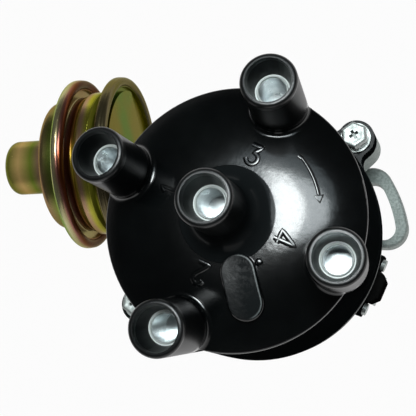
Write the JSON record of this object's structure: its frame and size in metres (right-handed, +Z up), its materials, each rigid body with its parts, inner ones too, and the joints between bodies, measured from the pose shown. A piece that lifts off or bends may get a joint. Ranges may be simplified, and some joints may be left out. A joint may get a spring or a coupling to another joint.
{
  "type": "ignition distributor",
  "caption": "Ignition distributor with a black five-tower cap, vacuum advance unit, slotted clamping ear and a geared drive shaft with rotor, flyweights and magnetic pickup inside.",
  "frame": {"origin": "on the shaft's axis at the seat face under the clamping flange", "axes": "+Z up along the shaft towards the cap's towers, -X towards the vacuum unit"},
  "size_m": [0.1416, 0.1041, 0.1588],
  "materials": {
    "cast_aluminium": "blasted casting, matte grey with a green tinge",
    "black_resin": "glossy moulded phenolic",
    "terminal_aluminium": "bright turned aluminium",
    "yellow_zinc": "zinc plate with yellow chromate, iridescent",
    "bright_zinc": "bright zinc plate",
    "steel": "machined steel, oiled",
    "bronze": "sintered bronze",
    "rubber": "nitrile rubber",
    "carbon": "pressed carbon",
    "brass": "rolled brass",
    "magnet": "ferrite",
    "winding": "enamelled copper wire",
    "brown_resin": "moulded resin",
    "black_block": "moulded plastic"
  },
  "bodies": {
    "housing": {"housing": "cast_aluminium", "neck_o_ring": "rubber", "upper_bush": "bronze", "lower_bush": "bronze", "thrust_washer": "steel", "base_plate": "steel", "base_plate_screws": "bright_zinc", "cap": "black_resin", "cap_seal": "rubber", "plug_terminal_1": "terminal_aluminium", "plug_terminal_2": "terminal_aluminium", "plug_terminal_3": "terminal_aluminium", "plug_terminal_4": "terminal_aluminium", "coil_terminal": "terminal_aluminium", "brush_spring": "brass", "cap_screws": "bright_zinc", "cap_screw_washers": "bright_zinc", "cap_spring_washers": "bright_zinc", "vacuum_outer_can": "yellow_zinc", "vacuum_spool_can": "yellow_zinc", "vacuum_inner_can": "yellow_zinc", "outer_diaphragm": "rubber", "inner_diaphragm": "rubber", "vacuum_spring": "steel", "vacuum_nipples": "yellow_zinc", "vacuum_bracket": "yellow_zinc", "vacuum_screws": "bright_zinc", "connector_block": "black_block", "connector_screws": "bright_zinc", "connector_tabs": "brass"},
    "shaft": {"drive_shaft": "steel", "lower_thrust_washer": "steel", "drive_gear": "steel", "gear_roll_pin": "steel", "governor_plate": "steel", "flyweight_clips": "steel", "governor_springs": "steel", "sleeve_washer": "steel", "sleeve_screw": "steel"},
    "rotor_sleeve": {"rotor_sleeve": "steel", "reluctor": "steel", "rotor": "brown_resin", "rotor_blade": "brass"},
    "flyweight_a": {"flyweight_a": "steel"},
    "flyweight_b": {"flyweight_b": "steel"},
    "advance_plate": {"advance_plate": "steel", "pickup_magnet": "magnet", "pickup_stator": "steel", "pickup_coil": "black_block", "coil_winding": "winding", "pickup_screws": "bright_zinc"},
    "vacuum_rod": {"vacuum_rod": "yellow_zinc", "diaphragm_plates": "bright_zinc"},
    "brush": {"carbon_brush": "carbon"}
  },
  "joints": [
    {"name": "shaft_spin", "type": "hinge", "parent": "housing", "child": "shaft", "pos_m": [0, 0, 0], "axis": [0, 0, 1], "continuous": true},
    {"name": "centrifugal_advance", "type": "hinge", "parent": "shaft", "child": "rotor_sleeve", "pos_m": [0, 0, 0.019], "axis": [0, 0, -1], "range_deg": [0, 12], "stiffness_Nm_per_rad": 0.15, "springref_deg": -5.73, "deforming": ["governor_springs"]},
    {"name": "flyweight_a_swing", "type": "hinge", "parent": "shaft", "child": "flyweight_a", "pos_m": [0.02, 0, 0.0143], "axis": [0, 0, 1], "range_deg": [0, 19.4]},
    {"name": "flyweight_b_swing", "type": "hinge", "parent": "shaft", "child": "flyweight_b", "pos_m": [-0.02, 0, 0.0143], "axis": [0, 0, 1], "range_deg": [0, 19.4]},
    {"name": "vacuum_advance", "type": "hinge", "parent": "housing", "child": "advance_plate", "pos_m": [0, 0, 0.026], "axis": [0, 0, 1], "range_deg": [0, 10], "stiffness_Nm_per_rad": 0.4, "springref_deg": -5.73},
    {"name": "vacuum_rod_slide", "type": "slide", "parent": "housing", "child": "vacuum_rod", "axis": [-1, 0, 0], "range_m": [0, 0.0052], "deforming": ["vacuum_spring", "outer_diaphragm", "inner_diaphragm"]},
    {"name": "brush_slide", "type": "slide", "parent": "housing", "child": "brush", "axis": [0, 0, 1], "range_m": [0, 0.0015], "stiffness_N_per_m": 150, "springref_m": -0.002, "deforming": ["brush_spring"]}
  ],
  "couplings": [
    {"joint": "flyweight_a_swing", "follows": "centrifugal_advance", "ratio": 1.608},
    {"joint": "flyweight_b_swing", "follows": "centrifugal_advance", "ratio": 1.608},
    {"joint": "vacuum_rod_slide", "follows": "vacuum_advance", "m_per_rad": 0.02916}
  ]
}
